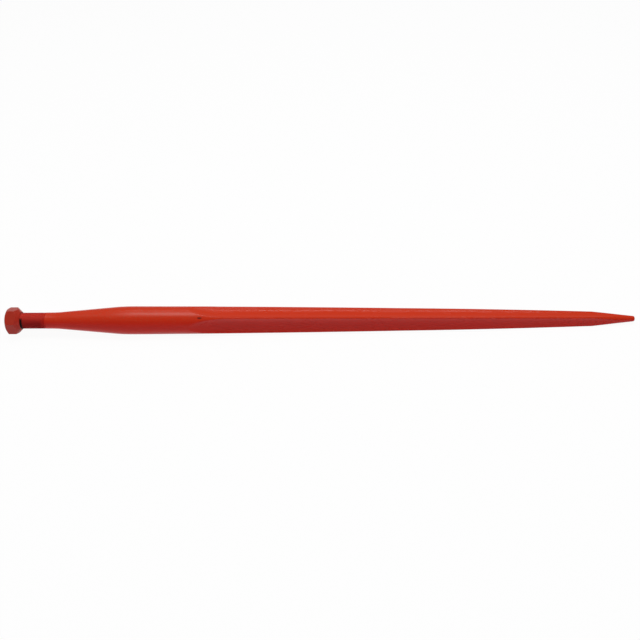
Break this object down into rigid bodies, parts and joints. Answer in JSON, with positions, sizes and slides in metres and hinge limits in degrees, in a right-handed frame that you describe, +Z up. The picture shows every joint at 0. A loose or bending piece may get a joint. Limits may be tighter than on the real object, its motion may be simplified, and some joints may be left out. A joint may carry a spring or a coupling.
{
  "type": "bale spear",
  "caption": "Forged bale spear: threaded shank with a nut, socket taper, round body and a long four-ridge fluted nose ending in a short blunt point.",
  "frame": {"origin": "on the tine's axis, at the small end of the socket taper", "axes": "+X along the tine to its point, +Z up, with two of the four ridges below and two above"},
  "size_m": [1.1, 0.0492, 0.0492],
  "materials": {
    "tine_paint": "gloss orange-red paint",
    "nut_paint": "gloss orange-red paint"
  },
  "bodies": {
    "root": {"tine": "tine_paint", "nut": "nut_paint"}
  },
  "joints": []
}
